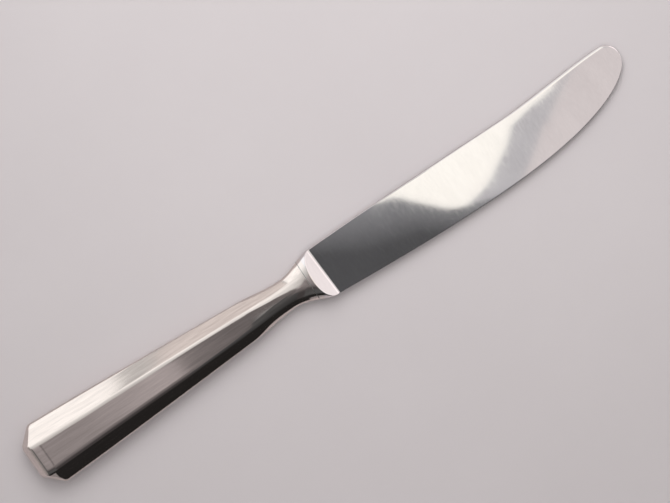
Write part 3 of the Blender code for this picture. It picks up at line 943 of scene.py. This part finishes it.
def lofted(name, rings):
    """One closed mesh through rings of equal count, capped at both ends."""
    count = len(rings[0])
    faces = []
    for row in range(len(rings) - 1):
        for i in range(count):
            a, b = row * count + i, row * count + (i + 1) % count
            faces.append((a, b, b + count, a + count))
    faces.append(tuple(range(count))[::-1])
    faces.append(tuple(range((len(rings) - 1) * count, len(rings) * count)))
    mesh = bpy.data.meshes.new(name)
    mesh.from_pydata([tuple(point) for point in on_ruler(np.concatenate(rings))], [], faces)
    mesh.shade_smooth()
    mesh.set_sharp_from_angle(angle=SHARP_ANGLE)
    return in_scene(name, mesh)


forging = lofted("blade_forging", rings)
forging.data.materials.append(blade_steel)
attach(forging, "root")
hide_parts("blade")
print("forging:", len(rings), "rings of", len(rings[0]), "points")

# %% [markdown]
# ## The table
#
# The knife lies on a plain pale table top, smooth and matt. One large sheet is enough, and a slow noise
# keeps its colour from being quite even.

# %% Table
TABLE_DARK, TABLE_LIGHT = (0.64, 0.595, 0.605), (0.66, 0.615, 0.625)
TABLE_REACH = 2.0

table_paint, start = new_finish("table_paint")
mottle = fine_lines(start, (14.0, 14.0, 14.0), detail=4.0, seed=1.0)
shader = start.node(
    "ShaderNodeBsdfPrincipled",
    {},
    {
        "Base Color": blend_colours(start, mottle, TABLE_DARK, TABLE_LIGHT),
        "Roughness": 0.75,
        "Specular IOR Level": 0.2,
    },
)
start.node("ShaderNodeOutputMaterial", {}, {"Surface": shader})


def card(name, corners, material):
    """A flat sheet of the studio, given by its corners in the frame, in order."""
    mesh = bpy.data.meshes.new(name)
    points = [tuple(map(float, corner)) for corner in corners]
    mesh.from_pydata(points, [], [tuple(range(len(points)))])
    mesh.materials.append(material)
    made = in_scene(name, mesh)
    return made


ends = ((-1, -1), (1, -1), (1, 1), (-1, 1))
card("table", [(x * TABLE_REACH, y * TABLE_REACH, 0) for x, y in ends], table_paint)
print("table:", 2 * TABLE_REACH, "m wide")

# %% [markdown]
# ## What the metal mirrors
#
# A polished knife looks like what it reflects, so the room around it matters. The photograph doesn't show
# the room, and this one is a guess that gives the same reflections: over the blade a bright soft box, a
# dark ceiling and a grey board, over the handle dim boards, and beyond the spine a long box and a window.
# A picture of a room could be wrapped round the scene, but plain sheets are easier to read and to move.
# Corners are in metres along, across and above the knife, from the middle of the handle.


# %% Studio plan
def rectangle(x0, y0, x1, y1):
    return [(x0, y0), (x0, y1), (x1, y1), (x1, y0)]


SOFT_BOX = [
    (0.105, -0.117), (0.1117, -0.1189), (0.1152, -0.1206), (0.1189, -0.1265), (0.125, -0.137),
    (0.1318, -0.147), (0.1365, -0.1514), (0.1446, -0.154), (0.163, -0.145), (0.186, -0.124),
    (0.197, -0.110), (0.216, -0.103), (0.230, -0.098), (0.400, 0.210), (0.105, 0.210),
]
GREY_BOARD = [
    (0.145, -0.154), (0.162, -0.158), (0.180, -0.157), (0.200, -0.138), (0.230, -0.105), (0.250, -0.087),
    (0.230, -0.098), (0.216, -0.103), (0.197, -0.110), (0.186, -0.124), (0.163, -0.145),
]
DARK_ROOF = [
    (-1.2, 0.02), (-0.05, 0.02), (-0.01, 0.08), (0.06, 0.1), (0.11, 0.12), (0.115, -0.115), (0.14, -0.15),
    (0.146, -0.155), (0.165, -0.159), (0.189, -0.163), (0.87, -0.5), (0.87, -1.2), (-1.2, -1.2),
]
HANDLE_BOARD = rectangle(-0.026, -0.13, -0.165, 0.02)
HANDLE_SHADE = rectangle(-0.026, -1.0, -0.2, -0.13)
NECK_BOARD = [
    (0.03, -0.3), (0.03, -0.09), (0.1, -0.09), (0.1, -0.02), (0.14, -0.02), (0.14, 0.21), (0.1, 0.21),
    (0.06, 0.19), (0.03, 0.15), (-0.01, 0.08), (-0.026, 0.05), (-0.026, -0.3),
]
NECK_SHADE = rectangle(0.3, -1.2, -0.026, -0.3)
BUTT_GAP = rectangle(-0.165, -0.13, -0.2, 0.02)
BUTT_BOARD = rectangle(-0.2, -0.34, -0.7, 0.02)
LONG_BOX = rectangle(0.6, 0.02, -1.5, 0.9)
WINDOW = [(-0.045, 0.8, 0.0), (-2.0, 0.8, 0.0), (-2.0, 0.8, 0.85), (-0.11, 0.8, 0.85)]
WINDOW_POST = [(-0.008, 0.8, 0.0), (-0.045, 0.8, 0.0), (-0.11, 0.8, 0.85), (-0.073, 0.8, 0.85)]
SIDE_BOX = [(1.2, -0.8, -0.02), (1.2, 0.6, -0.02), (1.2, 0.6, 1.4), (1.2, -0.8, 1.4)]
BUTT_EDGE = [(-1.1, -0.88, -0.01), (-0.33, -0.88, -0.01), (-0.33, -0.88, 0.2), (-1.1, -0.88, 0.2)]
EDGE_WALL = [(-1.1, -0.9, -0.01), (1.1, -0.9, -0.01), (1.1, -0.9, 0.65), (-1.1, -0.9, 0.65)]
BUTT_WALL = [(-1.1, -0.9, -0.01), (-1.1, 0.2, -0.01), (-1.1, 0.2, 0.65), (-1.1, -0.9, 0.65)]
HANDLE_MIDDLE = (45.0, 0.0, 0.0)


def from_knife(along, across, above):
    return on_ruler(np.array([along, across, above]) / MM + HANDLE_MIDDLE)


print("the plan starts from", from_knife(0.0, 0.0, 0.0).round(4), "in the frame")

# %% [markdown]
# ## Sheets and their brightness
#
# A ceiling is less dark near a soft box, and a board is paler at one end, so half of the sheets fade. A
# fade gives a way across the sheet, where it begins and ends on that way, and the brightness added where
# it begins. The camera and the table don't see the sheets, so they can hang wherever the metal asks.

# %% Mirrored sheets
WARM_WHITE, PLAIN_WHITE, COOL_WHITE = (1.0, 0.965, 0.95), (1.0, 0.985, 0.975), (0.92, 0.97, 1.0)
CREAM_WHITE, CLEAR_WHITE, ROSE_WHITE = (0.98, 1.0, 0.925), (0.965, 1.0, 1.0), (1.0, 0.96, 0.985)
PALE_BLUE = (0.96, 0.985, 1.0)

ROOF_FADE = ((-0.611, -0.792, 0.0), 0.0184, 0.0556, 0.323)
BOARD_FADE = ((-1.0, 0.0, 0.0), 0.03, 0.085, 0.19)
NECK_FADE = ((1.0, 0.0, 0.0), -0.026, 0.02, 0.09)
BOX_FADE = ((0.0, 1.0, 0.0), 0.03, 0.65, -0.72)
BUTT_FADE = ((0.0, 1.0, 0.0), -0.28, 0.02, -0.5)
DUSK_FADE = ((0.0, 1.0, 0.0), -0.9, -0.3, -0.06)
SIDE_FADE = ((0.0, 0.0, 1.0), 0.6, 0.8, -0.45)
SHADE_FADE = ((0.0, 1.0, 0.0), -0.4, -0.13, -0.23)


def mirrored_card(name, corners, brightness, colour, fade=None):
    """A sheet that shows only in the metal: a bright one is a soft box, a dark one a black flag."""
    glow, start = new_finish(name + "_glow")
    plain = [brightness * part for part in colour]
    shown = (*plain, 1.0)
    if fade:
        way, begin, end, added = fade
        place = start.node("ShaderNodeTexCoord", out="Object")
        reach = start.node("ShaderNodeVectorMath", {"operation": "DOT_PRODUCT"}, {0: place, 1: way}, "Value")
        spot = float(np.dot(from_knife(0, 0, 0), way))
        span = {"From Min": spot + begin, "From Max": spot + end}
        share = start.node("ShaderNodeMapRange", {}, {"Value": reach, **span})
        shown = blend_colours(start, share, [(brightness + added) * part for part in colour], plain)
    light = start.node("ShaderNodeEmission", {}, {"Color": shown, "Strength": 1.0})
    start.node("ShaderNodeOutputMaterial", {}, {"Surface": light})
    made = card(name, corners, glow)
    made.visible_camera = made.visible_diffuse = made.visible_shadow = False


for name, corners, above, brightness, colour, fade in (
    ("soft_box", SOFT_BOX, 0.57, 1.45, CREAM_WHITE, None),
    ("grey_board", GREY_BOARD, 0.57, 0.72, PALE_BLUE, None),
    ("dark_roof", DARK_ROOF, 0.58, 0.115, COOL_WHITE, ROOF_FADE),
    ("handle_board", HANDLE_BOARD, 0.56, 0.36, ROSE_WHITE, BOARD_FADE),
    ("neck_board", NECK_BOARD, 0.565, 0.19, ROSE_WHITE, NECK_FADE),
    ("neck_shade", NECK_SHADE, 0.575, 0.1, COOL_WHITE, DUSK_FADE),
    ("butt_gap", BUTT_GAP, 0.56, 0.24, ROSE_WHITE, None),
    ("butt_board", BUTT_BOARD, 0.56, 0.58, ROSE_WHITE, BUTT_FADE),
    ("handle_shade", HANDLE_SHADE, 0.575, 0.3, ROSE_WHITE, SHADE_FADE),
    ("long_box", LONG_BOX, 0.9, 1.35, CLEAR_WHITE, BOX_FADE),
):
    mirrored_card(name, [from_knife(*corner, above) for corner in corners], brightness, colour, fade)
for name, corners, brightness, colour, fade in (
    ("window", WINDOW, 1.45, CLEAR_WHITE, None),
    ("window_post", WINDOW_POST, 0.7, CLEAR_WHITE, None),
    ("side_box", SIDE_BOX, 1.65, WARM_WHITE, SIDE_FADE),
    ("edge_wall", EDGE_WALL, 0.022, PLAIN_WHITE, None),
    ("butt_edge", BUTT_EDGE, 0.35, ROSE_WHITE, None),
    ("butt_wall", BUTT_WALL, 0.35, PLAIN_WHITE, None),
):
    mirrored_card(name, [from_knife(*corner) for corner in corners], brightness, colour, fade)

# %% [markdown]
# ## Light on the table
#
# The knife's shadow is soft all round and darker along the side of its edge. Two round lamps on the
# spine's side give that shade, and a wide sky lamp and a pale world fill the rest, so the table stays
# even. The lamps don't show in the metal, because the sheets above already do.


# %% Light
def add_lamp(name, kind, place, aim, energy):
    """A lamp at one place of the plan that shines towards another."""
    lamp = in_scene(name, bpy.data.lights.new(name, kind))
    lamp.data.energy = energy
    lamp.location = from_knife(*place)
    fall = from_knife(*aim) - from_knife(*place)
    lamp.rotation_euler = Vector(fall).to_track_quat("-Z", "Y").to_euler()
    lamp.visible_glossy = False
    return lamp


for name, place, aim, size, energy in (
    ("blade_lamp", (0.14, 0.05, 0.22), (0.12, 0.0, 0.0), 0.25, 0.15),
    ("handle_lamp", (0.13, 0.245, 0.26), (0.03, 0.0, 0.0), 0.28, 0.48),
):
    disk = add_lamp(name, "AREA", place, aim, energy).data
    disk.shape, disk.size = "DISK", size
sky_lamp = add_lamp("sky_lamp", "SUN", (0.0, 0.5, 1.0), (0.0, 0.0, 0.0), 0.79)
sky_lamp.data.angle = math.radians(60)

FILL, PALE = 0.29, 0.9  # what lights the table, and what the camera and the metal see
world = bpy.data.worlds.new("studio")
bpy.context.scene.world = world
world.use_nodes = True
world.node_tree.nodes.clear()
start = Wire(world.node_tree)
camera_ray, glossy_ray, clear_ray = (
    start.node("ShaderNodeLightPath", out=f"Is {kind} Ray") for kind in ("Camera", "Glossy", "Transmission")
)
seen = start.maths("MAXIMUM", start.maths("MAXIMUM", camera_ray, glossy_ray), clear_ray)
strength = FILL + (PALE - FILL) * seen
sky = start.node("ShaderNodeBackground", {}, {"Color": (*WARM_WHITE, 1.0), "Strength": strength})
start.node("ShaderNodeOutputWorld", {}, {"Surface": sky})

# %% [markdown]
# ## The last update
#
# A dressed knife has to fit the same drawer as the solids it stands for. The last call brings every piece
# up to date.

# %% Update
bpy.context.view_layer.update()
